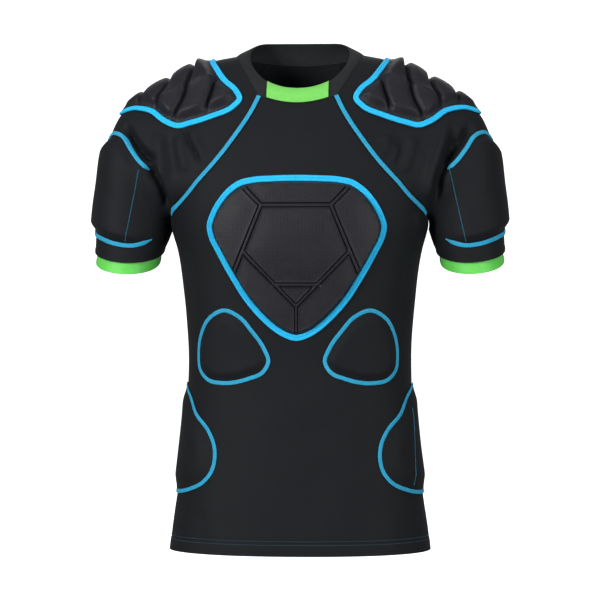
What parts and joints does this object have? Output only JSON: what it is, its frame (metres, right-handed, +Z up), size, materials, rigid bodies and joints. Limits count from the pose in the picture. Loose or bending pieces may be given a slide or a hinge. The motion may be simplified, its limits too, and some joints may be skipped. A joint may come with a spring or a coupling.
{
  "type": "short-sleeved padded rugby vest",
  "caption": "Black short-sleeved raglan rugby vest, filled out as if worn, with foam pads on shoulders, arms, chest, ribs and hips, blue edgings and green cuffs.",
  "frame": {"origin": "between the shoulders at the base of the neck, where the garment hangs from its wearer", "axes": "+Z up from hem to collar, -Y out of the front, +X towards the wearer's left"},
  "size_m": [0.5666, 0.2415, 0.6926],
  "materials": {
    "black_knit": "matte stretch knit",
    "pad_cover": "matte ripstop-like cover over foam",
    "collar_knit": "matte knit band",
    "bright_blue_edging": "satin ribbed edging",
    "blue_seam_tape": "flat seam tape",
    "green_cuff": "matte elastic band",
    "green_tab": "bare woven tab"
  },
  "bodies": {
    "root": {"arm_bottom_tape_left": "blue_seam_tape", "arm_bottom_tape_right": "blue_seam_tape", "arm_pad_left": "black_knit", "arm_pad_right": "black_knit", "arm_top_tape_left": "blue_seam_tape", "arm_top_tape_right": "blue_seam_tape", "back": "black_knit", "chest_edging": "bright_blue_edging", "chest_pad": "pad_cover", "collar": "collar_knit", "collar_label": "green_tab", "cuff_left": "green_cuff", "cuff_right": "green_cuff", "front": "black_knit", "hip_pad_left": "black_knit", "hip_pad_right": "black_knit", "hip_tape_left": "blue_seam_tape", "hip_tape_right": "blue_seam_tape", "raglan_tape_left": "blue_seam_tape", "raglan_tape_right": "blue_seam_tape", "rib_pad_left": "black_knit", "rib_pad_right": "black_knit", "rib_tape_left": "blue_seam_tape", "rib_tape_right": "blue_seam_tape", "shoulder_edging_left": "bright_blue_edging", "shoulder_edging_right": "bright_blue_edging", "shoulder_pad_left": "pad_cover", "shoulder_pad_right": "pad_cover", "sleeve_left": "black_knit", "sleeve_right": "black_knit"}
  },
  "joints": []
}
